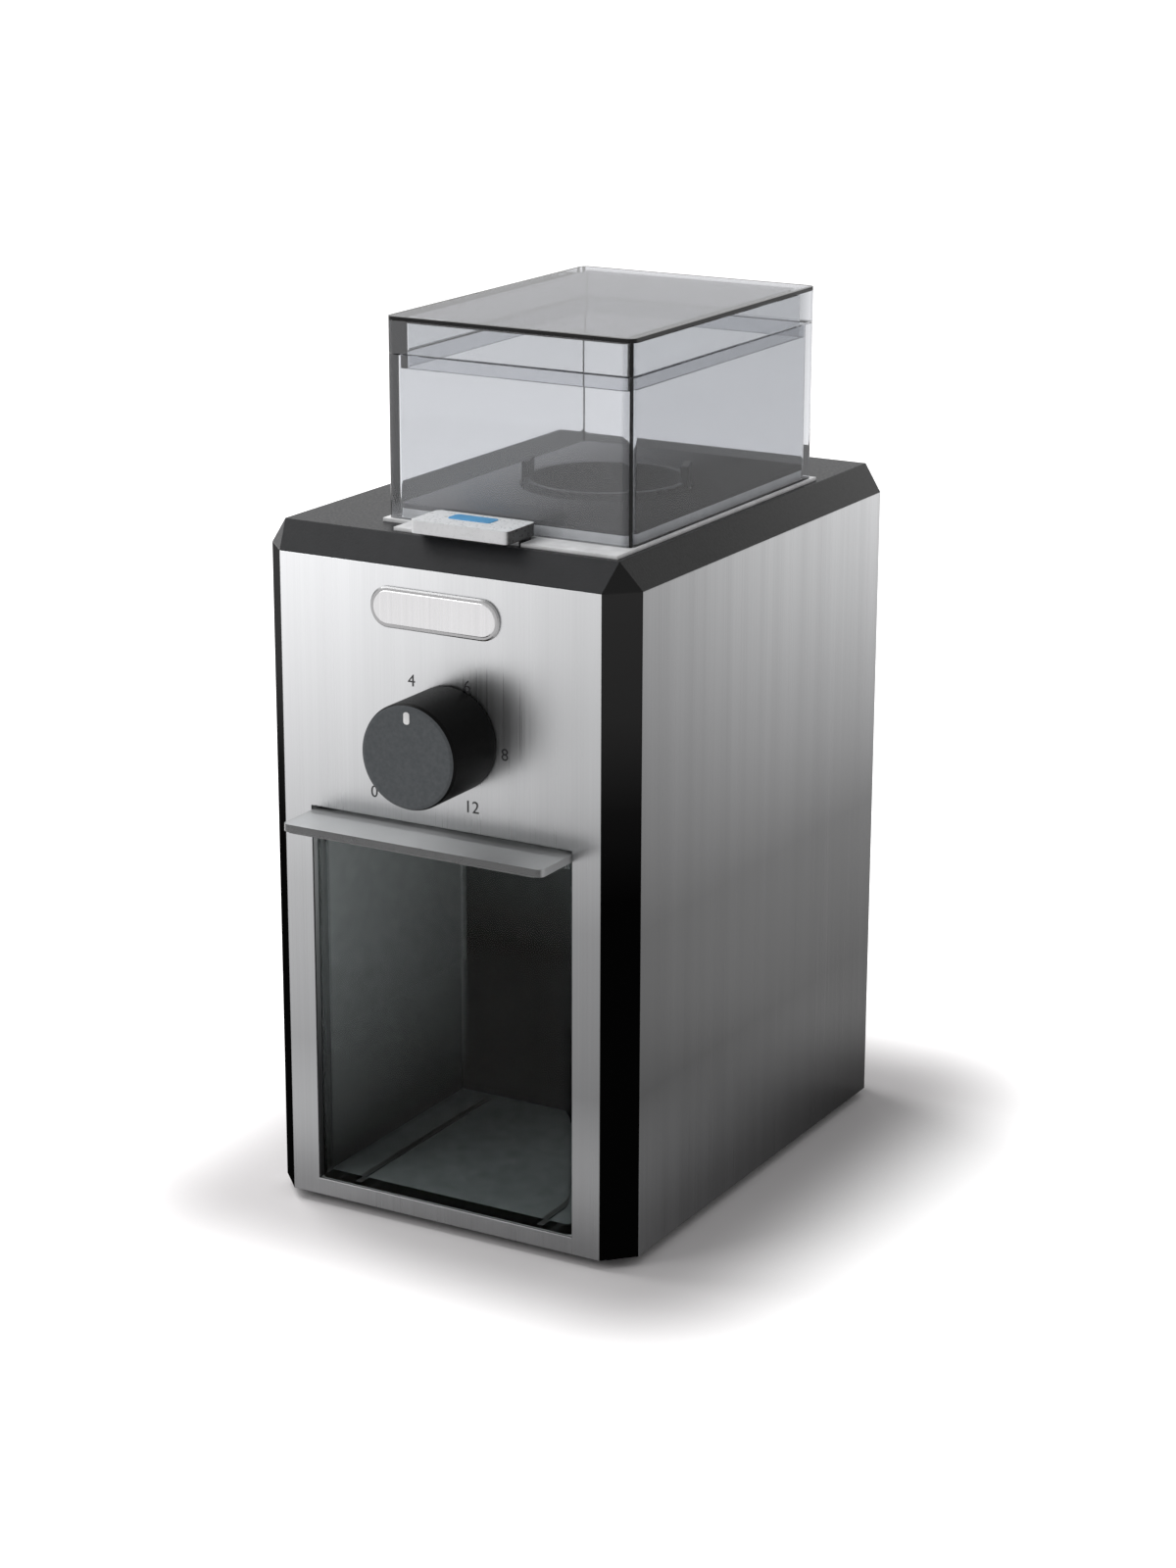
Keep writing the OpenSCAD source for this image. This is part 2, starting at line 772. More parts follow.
// Safety switch behind the bay, held down by the back of the container
module interlock_switch() {
    body_y0 = bay_back_y + liner_t;
    color("#8d2020") difference() {
        union() {
            translate([interlock_x, body_y0 + 5, interlock_z - 10]) block(8, 10, 20);
            translate([interlock_x, 0, interlock_z]) rod_y(plunger_r, container_back_y + 0.1, body_y0 + 1);
        }
        for (s = [-1, 1]) {
            translate([interlock_x - 5, body_y0 + 6, interlock_z + s * 6.5]) {
                rotate([0, 90, 0]) cylinder(r = 1.2, h = 10);
            }
        }
    }
    color("#c9a54a") for (s = [-1, 0, 1]) {
        translate([interlock_x, body_y0 + 10 + 2 - e, interlock_z + s * 6 - 2]) block(0.8, 4 + 2 * e, 4);
    }
}

// ---------- grounds container ----------

module ground_container() {
    h = container_top_z - container_z0;
    color([0.25, 0.26, 0.28, 0.55]) translate([0, container_y, 0]) difference() {
        translate([0, 0, container_z0]) round_box(container_w, container_d, h, container_round);
        translate([0, 0, container_z0 + container_wall]) {
            round_box(container_w - 2 * container_wall, container_d - 2 * container_wall, h,
                max(0.4, container_round - container_wall / 2));
        }
    }
}

// Container lid with its locating rim, inlet and the pull lip in front of the panel
module container_lid() {
    rim_gap = 0.2;
    rim_w = container_w - 2 * (container_wall + rim_gap);
    rim_d = container_d - 2 * (container_wall + rim_gap);
    lip_y = front_y - lip_reach;
    lid_d = container_back_y - lip_y;
    color([0.3, 0.31, 0.33, 0.6]) difference() {
        union() {
            translate([0, lip_y + lid_d / 2, container_lid_z]) {
                round_box(container_w, lid_d, container_lid_t, container_round);
            }
            translate([0, lip_y + 1, container_lid_z + container_lid_t - lip_turn]) {
                block(container_w - 2 * container_round - 1, 2, lip_turn);
            }
            translate([0, container_y, container_lid_z - 3]) {
                round_box(rim_w, rim_d, 3 + e, max(0.4, container_round - container_wall / 2));
            }
        }
        translate([0, container_y, container_lid_z - 4]) block(rim_w - 3.6, rim_d - 3.6, 4);
        translate([burr_x, chute_y, 0]) rod(inlet_r, container_lid_z - 1, container_lid_z + container_lid_t + 1);
    }
}

// ---------- hopper ----------

// Light collar: a ledge on the top cover and a raised platform inside the hopper wall
module hopper_collar() {
    foot_d = hopper_d + 2 * collar_edge;
    ledge_left_x = hopper_x - hopper_w / 2 + ledge_step;
    ledge_right_x = hopper_x + hopper_w / 2 + collar_edge;
    color("#b9babc") difference() {
        union() {
            translate([hopper_x, hopper_y, cover_top_z]) block(hopper_w + 2 * collar_edge, foot_d, collar_t);
            translate([ledge_left_x, hopper_front_y - ledge_d, cover_top_z]) {
                cube([ledge_right_x - ledge_left_x, ledge_d, collar_t]);
            }
            translate([hopper_x, hopper_y, ledge_top_z - e]) {
                round_box(platform_w, platform_d, platform_h + e, hopper_inner_round);
            }
        }
        at_burr() rod(neck_r + neck_clear, cover_top_z - 1, platform_top_z + 1);
        // notch that the button cap sinks into
        translate([button_x, button_y - 2, cover_top_z - 1]) {
            block(button_w + 2 * slide_fit, button_d + 4 + 2 * slide_fit, collar_t + 2);
        }
        collar_screws_at() {
            rod(screw_r, cover_top_z - 1, platform_top_z + 1);
            rod(screw_head_r + 0.2, platform_top_z - screw_head_h, platform_top_z + 1);
        }
    }
}

// Dark floor plate inside the hopper with a chamfered throat
module hopper_floor() {
    color("#3a3b3e") translate([hopper_x, hopper_y, 0]) difference() {
        translate([0, 0, platform_top_z]) round_box(platform_w, platform_d, floor_t, hopper_inner_round);
        rod(neck_r + neck_clear, platform_top_z - 1, floor_top_z + 1);
        translate([0, 0, floor_top_z - 0.6]) {
            cylinder(r1 = neck_r + neck_clear, r2 = neck_r + neck_clear + 0.8, h = 0.6 + e);
        }
    }
}

module hopper() {
    color([0.75, 0.76, 0.78, 0.35]) translate([hopper_x, hopper_y, 0]) difference() {
        translate([0, 0, ledge_top_z]) round_box(hopper_w, hopper_d, hopper_h, hopper_round);
        translate([0, 0, ledge_top_z - 1]) {
            round_box(hopper_w - 2 * hopper_wall, hopper_d - 2 * hopper_wall, hopper_h + 2, hopper_inner_round);
        }
    }
}

// Lift-off lid: flat top, short walls and a rim that enters the hopper
module hopper_lid() {
    rim_gap = 0.3;
    rim_h = 4;
    rim_t = 1.6;
    rim_w = hopper_w - 2 * (hopper_wall + rim_gap);
    rim_d = hopper_d - 2 * (hopper_wall + rim_gap);
    seam_d = hopper_wall / 2;
    color([0.6, 0.61, 0.63, 0.45]) translate([hopper_x, hopper_y, 0]) difference() {
        union() {
            translate([0, 0, hopper_lid_z]) round_box(hopper_w, hopper_d, hopper_lid_h, hopper_round);
            translate([0, 0, hopper_lid_z - rim_h]) round_box(rim_w, rim_d, rim_h + 1, hopper_inner_round);
        }
        translate([0, 0, hopper_lid_z - rim_h - 1]) {
            round_box(rim_w - 2 * rim_t, rim_d - 2 * rim_t, rim_h + 1 + hopper_lid_h - hopper_lid_t,
                hopper_inner_round);
        }
        // step that leaves a shadow line above the hopper wall
        translate([0, 0, hopper_lid_z - e]) difference() {
            block(hopper_w + 2, hopper_d + 2, seam_h + e);
            translate([0, 0, -1]) {
                round_box(hopper_w - 2 * seam_d, hopper_d - 2 * seam_d, seam_h + 3, hopper_inner_round);
            }
        }
    }
}

// ---------- start button ----------

module start_button() {
    color("#ececee") {
        difference() {
            union() {
                translate([button_x, button_y, button_z]) round_box(button_w, button_d, button_t, 1.6);
                translate([button_x, skirt_y, skirt_bottom_z]) {
                    block(skirt_w, skirt_d, button_z - skirt_bottom_z + 1);
                }
            }
            translate([button_x, skirt_y, skirt_bottom_z - 1]) {
                block(skirt_w - 2.4, skirt_d - 2.4, button_z - skirt_bottom_z + 1);
            }
        }
        translate([button_x, skirt_y, 0]) rod(stem_r, plunger_top_z, button_z + 1);
    }
}

// Return spring between the switch and the skirt of the button
module button_spring() {
    turns = 5;
    steps = 14;
    z0 = switch_top_z + spring_wire_r;
    z1 = skirt_bottom_z - spring_wire_r;
    sides = 8;
    count = turns * steps;
    ring_points = [
        for (i = [0 : count])
            for (j = [0 : sides - 1])
                let (
                    turn = i * 360 / steps,
                    along = j * 360 / sides,
                    r = spring_r + spring_wire_r * cos(along),
                    z = z0 + (z1 - z0) * i / count + spring_wire_r * sin(along)
                )
                [r * cos(turn), r * sin(turn), z]
    ];
    side_faces = [
        for (i = [0 : count - 1])
            for (j = [0 : sides - 1])
                let (a = i * sides + j, b = i * sides + (j + 1) % sides)
                [a, b, b + sides, a + sides]
    ];
    first_face = [for (j = [0 : sides - 1]) sides - 1 - j];
    last_face = [for (j = [0 : sides - 1]) count * sides + j];
    color("#c8cacc") translate([button_x, skirt_y, 0]) {
        polyhedron(ring_points, concat([first_face], side_faces, [last_face]), convexity = 10);
    }
}

// Sliding contact pin of the start switch, pushed down by the button's stem
module switch_plunger() {
    color("#e6e1d2") translate([button_x, skirt_y, 0]) {
        rod(plunger_r, switch_top_z - 6, plunger_top_z);
    }
}

module start_switch() {
    color("#2b2c30") translate([button_x, skirt_y, 0]) difference() {
        union() {
            translate([0, 0, switch_top_z - switch_h]) block(switch_w, switch_d, switch_h);
            translate([0, 0, switch_flange_z]) {
                block(2 * (switch_post_x + switch_post_r), switch_d - 3, switch_flange_t);
            }
        }
        rod(plunger_r + run_fit, switch_top_z - 6 - button_travel - 1, switch_top_z + 1);
        for (s = [-1, 1]) {
            translate([s * switch_post_x, 0, 0]) rod(switch_peg_r + 0.1, switch_top_z - 5, switch_top_z + 1);
        }
    }
    color("#c9a54a") for (s = [-1, 1]) {
        translate([button_x + s * 5, skirt_y, switch_top_z - switch_h - 5]) block(4, 0.8, 5 + e);
    }
}

// ---------- selector ----------

// Turned knob with a soft front edge, a hollow back and a bore for the timer shaft
module selector_knob() {
    edge = 1.2;
    skirt = 1.8;
    depth = knob_reach - knob_gap;
    color("#44474a") difference() {
        translate([knob_x, knob_front_y, knob_z]) rotate([-90, 0, 0]) rotate_extrude() {
            polygon([
                [0, 0], [knob_r - edge, 0], [knob_r - edge * 0.35, edge * 0.25],
                [knob_r, edge], [knob_r, depth], [knob_r - skirt, depth],
                [knob_r - skirt, depth - 9], [timer_shaft_r + 2.6, depth - 9],
                [timer_shaft_r + 2.6, depth - 5], [0, depth - 5]
            ]);
        }
        translate([knob_x, 0, knob_z]) rod_y(timer_shaft_r, knob_front_y + 5, front_y);
    }
}

module timer_shaft() {
    color("#b9babc") translate([knob_x, 0, knob_z]) {
        rod_y(timer_shaft_r, knob_front_y + 5, timer_front_y + 9);
    }
}

module timer_nut() {
    color("#b0a070") difference() {
        translate([knob_x, front_y, knob_z]) rotate([90, 0, 0]) cylinder(r = 7.4, h = timer_nut_t, $fn = 6);
        translate([knob_x, 0, knob_z]) rod_y(timer_bush_r, front_y - 5, front_y + 1);
    }
}

// Rotary timer with its threaded bushing, contact tags and rear rivets
module timer_body() {
    body_y1 = timer_front_y + timer_body_d;
    color("#6d5a35") difference() {
        union() {
            translate([knob_x, 0, knob_z]) rod_y(timer_body_r, timer_front_y, body_y1 - 3);
            translate([knob_x, 0, knob_z]) rod_y(timer_body_r - 2, body_y1 - 3, body_y1);
            translate([knob_x, 0, knob_z]) rod_y(timer_bush_r, front_y - timer_nut_t - 1.2, timer_front_y + e);
        }
        translate([knob_x, 0, knob_z]) {
            rod_y(timer_shaft_r + run_fit, front_y - timer_nut_t - 3, timer_front_y + 9.5);
        }
    }
    color("#c9a54a") for (s = [-1, 0, 1]) {
        translate([knob_x + s * 6, body_y1 - 6, knob_z - timer_body_r - 5]) block(3, 0.8, 7);
    }
}

// ---------- grinding unit ----------

// Ring in the hopper floor that sets the grind: finger grips on the neck, sleeve below
module grind_adjuster() {
    sleeve_z = ledge_z + 0.05;
    color("#5a5c60") at_burr() difference() {
        union() {
            rod(adjuster_r, sleeve_z, chamber_top_z - e);
            rod(neck_r, chamber_top_z - 1, neck_top_z);
            for (a = [20, 200]) {
                rotate([0, 0, a]) translate([neck_r - neck_wall / 2, 0, floor_top_z + 0.4]) {
                    block(neck_wall, 9, 6);
                }
            }
        }
        rod(carrier_r + thread_fit, sleeve_z - 1, chamber_top_z - adjuster_roof_t);
        rod(neck_r - neck_wall, chamber_top_z - 3, neck_top_z + 10);
        around(36, neck_r + 0.45, 5) rod(0.8, floor_top_z + 0.6, neck_top_z + 1);
    }
}

// Carrier of the upper burr: funnel, outer thread land and three anti-turn lugs
module burr_carrier() {
    pocket_z = upper_burr_z + burr_t;
    lug_reach = chamber_high_r - 1;
    lug_t = 1.7;
    color("#7a7c80") at_burr() difference() {
        union() {
            rod(carrier_r, pocket_z - 2.5, carrier_top_z);
            for (a = [90, 210, 330]) {
                rotate([0, 0, a]) translate([lug_reach - 3, 0, pocket_z - 2.5]) block(6, 5, lug_t);
            }
        }
        rod(burr_r, pocket_z - 3.5, pocket_z);
        rod(upper_burr_bore, pocket_z - 1, carrier_top_z + 1);
        translate([0, 0, carrier_top_z - 6]) {
            cylinder(r1 = upper_burr_bore, r2 = neck_r - neck_wall, h = 6 + e);
        }
        burr_holes_at() {
            rod(screw_r, pocket_z - 1, carrier_top_z);
            rod(screw_head_r + 0.2, pocket_z + carrier_web, carrier_top_z);
        }
    }
}

// Places of the upper burr's screws and of the pegs that drive the lower burr
module burr_holes_at() {
    around(3, burr_hole_ring, burr_hole_turn) children();
}

// Screws that hold the upper burr in its carrier
module burr_screws() {
    color("#a9abad") at_burr() burr_holes_at() {
        screw_down(upper_burr_z + burr_t + carrier_web, carrier_web + burr_hole_d - 0.4);
    }
}

// Flat grinding ring with coarse inner and fine outer teeth and three blind holes in its back
module burr_ring(z, bore, face_down, hole_r) {
    hole_z = face_down ? z + burr_t - burr_hole_d : z - 1;
    face_z = face_down ? z : z + burr_t;
    dir = face_down ? 1 : -1;
    difference() {
        rod(burr_r - 0.05, z, z + burr_t);
        rod(bore, z - 1, z + burr_t + 1);
        // breaking teeth near the bore
        around(burr_teeth / 3, 0) {
            rotate([0, 0, 18]) translate([bore - 2, 0, face_z - dir * 0.8]) {
                rotate([0, dir * 16, 0]) translate([0, 0, -1.6]) cube([8.5, 3.6, 3.2]);
            }
        }
        // cutting grooves out to the rim
        for (i = [0 : burr_teeth - 1]) {
            rotate([0, 0, (i + 0.5) * 360 / burr_teeth]) translate([bore + 1, 0, face_z]) {
                rotate([dir * 28, 0, 22]) translate([0, -1.1, -1.1]) cube([burr_r, 2.2, 2.2]);
            }
        }
        burr_holes_at() rod(hole_r, hole_z, hole_z + burr_hole_d + 1);
    }
}

module upper_burr() {
    color("#9a9ca0") at_burr() burr_ring(upper_burr_z, upper_burr_bore, true, pilot_r);
}

// Lower burr, with a seat for the flange of the nut
module lower_burr() {
    color("#9a9ca0") at_burr() difference() {
        burr_ring(lower_burr_z, hub_boss_r, false, burr_peg_r);
        rod(nut_flange_r + 0.1, lower_burr_z + burr_t - nut_flange_t, lower_burr_z + burr_t + 1);
    }
}

// Rotating hub: seat and drive pegs of the lower burr, sweeping vanes below the rim
module burr_hub() {
    color("#d9d4c6") at_burr() {
        difference() {
            union() {
                rod(hub_r, hub_z, hub_z + hub_t);
                rod(hub_boss_r - 0.05, hub_z, lower_burr_z + burr_t - nut_flange_t);
                for (i = [0 : 5]) {
                    rotate([0, 0, i * 60]) translate([hub_r - 6, -1, hub_z - vane_h]) {
                        cube([5.6, 2, vane_h + 1]);
                    }
                }
            }
            tube(burr_r, hub_boss_r - 0.05, lower_burr_z, hub_z + hub_t + 1);
            rod(burr_shaft_r, hub_z - 1, hub_z + 20);
        }
        burr_holes_at() rod(burr_peg_r - 0.1, lower_burr_z - e, lower_burr_z + burr_hole_d - 0.4);
    }
}

// Domed flange nut that clamps the lower burr on the hub and breaks the falling beans
module burr_nut() {
    nut_z = lower_burr_z + burr_t - nut_flange_t;
    color("#8f9296") at_burr() difference() {
        union() {
            rod(nut_flange_r, nut_z, nut_z + nut_flange_t);
            translate([0, 0, nut_z]) cylinder(r = 7, h = 4, $fn = 6);
            translate([0, 0, nut_z + 4]) cylinder(r1 = 5.6, r2 = 3, h = 3.4);
        }
        rod(burr_shaft_r, nut_z - 1, nut_z + 4);
    }
}

module burr_shaft() {
    color("#b4b6b9") at_burr() rod(burr_shaft_r, case_z0 + 0.5, lower_burr_z + burr_t + 2.4);
}

module burr_bushes() {
    color("#a07a3c") at_burr() {
        tube(bush_r, burr_shaft_r + run_fit, case_z0, low_gear_z - axial_play);
        tube(bush_r, burr_shaft_r + run_fit, chamber_z0 - 7, chamber_floor_z);
    }
}

// Grinding chamber: cup with a bush boss, key slots, flat spout face and three legs
module grinding_chamber() {
    color("#2c2d30") difference() {
        union() {
            at_burr() {
                rod(chamber_r, chamber_z0, chamber_top_z);
                rod(bush_boss_r, chamber_z0 - 7, chamber_z0 + e);
                around(3, leg_ring, leg_angle) rod(leg_r, gear_cover_z, chamber_z0 + e);
            }
            translate([burr_x, spout_y + spout_d / 2, chamber_z0]) block(chute_w, spout_d, outlet_h + 8);
        }
        at_burr() {
            rod(chamber_low_r, chamber_floor_z, ledge_z + 1);
            rod(chamber_high_r, ledge_z, chamber_top_z + 1);
            rod(bush_r, chamber_z0 - 8, chamber_floor_z + 1);
            for (a = [90, 210, 330]) {
                rotate([0, 0, a]) translate([chamber_high_r - 3.4, 0, ledge_z - 4.2]) block(6.4, 5.8, 5.2);
            }
            around(3, leg_ring, leg_angle) rod(pilot_r, gear_cover_z - 1, gear_cover_z + 9);
        }
        translate([burr_x, spout_y + 6, chamber_floor_z]) block(outlet_w, 14, outlet_h);
    }
}

module chamber_seal() {
    color("#6b2f26") at_burr() tube(chamber_r - 0.4, adjuster_r - 1.8, chamber_top_z, cover_top_z - cover_t);
}

// Duct from the spout of the chamber down to the bay ceiling
module coffee_chute() {
    color("#26272a") translate([burr_x, chute_y, 0]) difference() {
        translate([0, 0, liner_top_z]) block(chute_w, chute_d, chute_top_z - liner_top_z);
        translate([0, 0, liner_top_z - 1]) {
            block(chute_w - 2 * chute_wall, chute_d - 2 * chute_wall, chute_top_z - liner_top_z + 1 - chute_wall);
        }
        translate([0, chute_d / 2, chamber_floor_z]) block(outlet_w, 4 * chute_wall, outlet_h);
    }
}

// ---------- gear train ----------

// Places of the gearbox screws around the three axes
module gearbox_ears() {
    at_burr() {
        for (a = [-150, -20]) {
            rotate([0, 0, a]) translate([burr_case_r + ear_out, 0, 0]) children();
        }
    }
}

module gearbox_back_ears() {
    at_idler() rotate([0, 0, 12]) translate([idler_case_r + ear_out, 0, 0]) children();
    at_motor() rotate([0, 0, 100]) translate([motor_case_r + ear_out, 0, 0]) children();
}

// Outline of the gearbox around the three axes, shrunk by an inset
module case_outline(inset) {
    hull() {
        at_burr() circle(burr_case_r - inset, $fn = 48);
        at_idler() circle(idler_case_r - inset, $fn = 48);
    }
    hull() {
        at_idler() circle(idler_case_r - inset - 10, $fn = 48);
        at_motor() circle(motor_case_r - inset, $fn = 48);
    }
}

module gearbox_case() {
    color("#c4c0b4") difference() {
        union() {
            translate([0, 0, case_z0]) linear_extrude(case_split_z - case_z0) case_outline(0);
            gearbox_ears() rod(ear_r, case_z0, case_split_z);
            gearbox_back_ears() rod(ear_r, case_z0, case_split_z);
        }
        difference() {
            translate([0, 0, case_floor_z]) linear_extrude(20) case_outline(case_wall);
            at_burr() rod(bush_r + 2, case_floor_z - 1, case_floor_z + 0.6);
            at_idler() rod(idler_pin_r + 2, case_floor_z - 1, low_gear_z - axial_play);
        }
        at_burr() rod(bush_r, case_z0 - 1, case_floor_z + 2);
        at_idler() rod(idler_pin_r, case_z0 + 0.8, case_floor_z + 3);
        at_motor() rod(motor_shaft_r + 1.5, case_z0 - 1, case_floor_z + 3);
        gearbox_ears() rod(screw_r, case_z0 - 1, case_split_z + 1);
        gearbox_back_ears() rod(screw_r, case_z0 - 1, case_split_z + 1);
    }
}

module gearbox_cover() {
    color("#c4c0b4") difference() {
        union() {
            translate([0, 0, case_split_z]) linear_extrude(gear_cover_z - case_split_z) case_outline(0);
            gearbox_ears() rod(ear_r, case_split_z, gear_cover_z);
            gearbox_back_ears() rod(ear_r, case_split_z, gear_cover_z);
        }
        difference() {
            translate([0, 0, case_split_z - 1]) linear_extrude(cover_under_z - case_split_z + 1) {
                case_outline(case_wall);
            }
            at_idler() rod(idler_pin_r + 2, high_gear_z + gear_face + axial_play, cover_under_z + 1);
        }
        at_burr() rod(burr_shaft_r + 1.5, cover_under_z - 1, gear_cover_z + 1);
        at_idler() rod(idler_pin_r, cover_under_z - 2, gear_cover_z - 0.8);
        gearbox_ears() rod(screw_r, case_split_z - 1, gear_cover_z + 1);
        gearbox_back_ears() rod(screw_r, case_split_z - 1, gear_cover_z + 1);
        at_burr() around(3, leg_ring, leg_angle) rod(screw_r, cover_under_z - 1, gear_cover_z + 1);
    }
}

// Gear on the burr shaft, lightened by a web
module burr_gear() {
    teeth = burr_gear_teeth;
    web_r = gear_module * teeth / 2 - 3.2;
    color("#efe9d8") at_burr() difference() {
        gear_wheel(teeth, low_gear_z, gear_face, idler_side_turn(teeth));
        rod(burr_shaft_r, low_gear_z - 1, low_gear_z + gear_face + 1);
        tube(web_r, burr_shaft_r + 3.4, low_gear_z + gear_face - 1.8, low_gear_z + gear_face + 1);
        around(6, (web_r + burr_shaft_r + 3.4) / 2) rod(3, low_gear_z - 1, low_gear_z + gear_face + 1);
    }
}

// Turn of the burr gear that puts a gap towards the idler
function idler_side_turn(teeth) = idler_angle + 180 / teeth;

// Compound idler: large wheel driven by the pinion, small wheel driving the burr gear
module idler_gear() {
    wheel_r = gear_module * idler_wheel_teeth / 2;
    web_r = wheel_r - 3.2;
    hub = gear_module * idler_pinion_teeth / 2 - dedendum * gear_module;
    color("#efe9d8") at_idler() difference() {
        union() {
            gear_wheel(idler_wheel_teeth, high_gear_z, gear_face, motor_angle + 180 / idler_wheel_teeth);
            gear_wheel(idler_pinion_teeth, low_gear_z, gear_face + 0.5, idler_angle + 180);
            rod(hub, low_gear_z, high_gear_z + gear_face);
        }
        rod(idler_pin_r + run_fit, low_gear_z - 1, high_gear_z + gear_face + 1);
        tube(web_r, idler_pin_r + 3.4, high_gear_z + gear_face - 1.8, high_gear_z + gear_face + 1);
        around(5, (web_r + idler_pin_r + 3.4) / 2) rod(2.8, high_gear_z - 1, high_gear_z + gear_face + 1);
    }
}

module idler_pin() {
    color("#b4b6b9") at_idler() rod(idler_pin_r, case_z0 + 0.8, gear_cover_z - 0.8);
}

module motor_pinion() {
    color("#a8874a") at_motor() difference() {
        gear_wheel(pinion_teeth, high_gear_z - 0.4, gear_face + 0.8, motor_angle + 180);
        rod(motor_shaft_r, high_gear_z - 2, high_gear_z + gear_face + 2);
    }
}

// ---------- motor ----------

// Shaft with a thrust collar inside each bush
module motor_shaft() {
    low_collar_z = lower_bracket_z + bracket_cup_h + axial_play;
    high_collar_z = upper_bracket_z - axial_play;
    color("#b4b6b9") at_motor() {
        rod(motor_shaft_r, fan_z - 1, high_gear_z + gear_face + 1);
        rod(collar_r, low_collar_z, low_collar_z + 2.5);
        rod(collar_r, commutator_z + commutator_h, high_collar_z);
    }
}

// Laminated core with skewless slots
module rotor_core() {
    slots = 12;
    color("#6f7276") at_motor() difference() {
        rod(rotor_r, stack_z, stack_z + stack_h);
        rod(motor_shaft_r, stack_z - 1, stack_z + stack_h + 1);
        around(slots, rotor_r - 3.6) rod(2.3, stack_z - 1, stack_z + stack_h + 1);
        for (i = [0 : slots - 1]) {
            rotate([0, 0, i * 360 / slots]) translate([rotor_r - 3, -0.6, stack_z - 1]) {
                cube([4, 1.2, stack_h + 2]);
            }
        }
    }
}

// Copper in the rotor slots and the wound ends beyond the core
module rotor_winding() {
    slots = 12;
    color("#b06a34") at_motor() {
        for (i = [0 : slots - 1]) {
            rotate([0, 0, i * 360 / slots]) translate([rotor_r - 3.6, 0, 0]) {
                rod(2.2, stack_z - 1, stack_z + stack_h + 1);
            }
        }
        for (z = [stack_z - winding_h, stack_z + stack_h]) {
            tube(rotor_r - 1.2, motor_shaft_r + 1.5, z, z + winding_h);
        }
    }
}

module commutator() {
    bars = 24;
    color("#c08850") at_motor() difference() {
        rod(commutator_r, commutator_z, commutator_z + commutator_h);
        rod(motor_shaft_r, commutator_z - 1, commutator_z + commutator_h + 1);
        for (i = [0 : bars - 1]) {
            rotate([0, 0, (i + 0.5) * 360 / bars]) translate([commutator_r - 1.6, -0.25, commutator_z - 1]) {
                cube([3, 0.5, commutator_h + 2]);
            }
        }
    }
}

// Radial fan: back plate, hub and straight blades
module cooling_fan() {
    color("#d8d8d4") at_motor() difference() {
        union() {
            rod(fan_r, fan_z + fan_h - 1.6, fan_z + fan_h);
            rod(7, fan_z, fan_z + fan_h);
            for (i = [0 : fan_blades - 1]) {
                rotate([0, 0, i * 360 / fan_blades]) translate([9, -0.7, fan_z]) {
                    rotate([0, 0, 12]) cube([fan_r - 9.8, 1.4, fan_h - 1]);
                }
            }
        }
        rod(motor_shaft_r, fan_z - 1, fan_z + fan_h + 1);
    }
}

// Stator laminations with two pole arcs and windows for the field coils
module motor_stator() {
    bore = rotor_r + air_gap;
    color("#7c7f83") at_motor() difference() {
        translate([0, 0, stack_z]) linear_extrude(stack_h) difference() {
            intersection() {
                square([stator_w + 4, stator_w], center = true);
                circle(stator_w / 2 + 5);
            }
            circle(bore);
        }
        for (s = [0, 180]) {
            rotate([0, 0, s + 45]) translate([0, 0, stack_z - 1]) rotate_extrude(angle = 90) {
                translate([bore - 1, 0]) square([coil_slot + 1, stack_h + 2]);
            }
        }
        around(4, bolt_ring, 45) rod(bolt_r + 2 * bolt_fit, stack_z - 1, stack_z + stack_h + 1);
    }
}

// Two saddle coils: each is a curved frame round one pole, with its sides in the stator windows
module field_coils() {
    inner = rotor_r + air_gap + 2 * coil_gap;
    size = coil_slot - 3 * coil_gap;
    span = 152;
    side_span = 28;
    color("#b5622c") at_motor() for (a = [0, 180]) {
        rotate([0, 0, a - span / 2]) difference() {
            translate([0, 0, stack_z - coil_h]) rotate_extrude(angle = span) {
                translate([inner, 0]) square([size, stack_h + 2 * coil_h]);
            }
            rotate([0, 0, side_span]) translate([0, 0, stack_z]) rotate_extrude(angle = span - 2 * side_span) {
                translate([inner - 1, 0]) square([size + 2, stack_h]);
            }
        }
    }
}

// Four-armed bracket with a bearing cup
module bracket(z, cup_z, arm) {
    difference() {
        union() {
            rod(motor_bush_r + 3, min(z, cup_z), max(z + bracket_t, cup_z + bracket_cup_h));
            for (i = [0 : 3]) {
                rotate([0, 0, 45 + i * 90]) translate([0, -4, z]) cube([arm, 8, bracket_t]);
                rotate([0, 0, 45 + i * 90]) translate([arm, 0, 0]) rod(5, z, z + bracket_t);
            }
        }
        rod(motor_bush_r, cup_z - 1, cup_z + bracket_cup_h + 1);
        around(4, bolt_ring, 45) rod(bolt_r + bolt_fit, z - 1, z + bracket_t + 1);
        around(4, mount_ring, 45) rod(2.2, z - 1, z + bracket_t + 1);
    }
}

// Lower bracket, which stands on the rubber mounts and spaces the laminations off
module motor_lower_bracket() {
    color("#9fa2a6") at_motor() {
        bracket(lower_bracket_z, lower_bracket_z, mount_ring);
        around(4, bolt_ring, 45) tube(3.6, bolt_r + bolt_fit, lower_bracket_z + bracket_t - e, stack_z);
    }
}

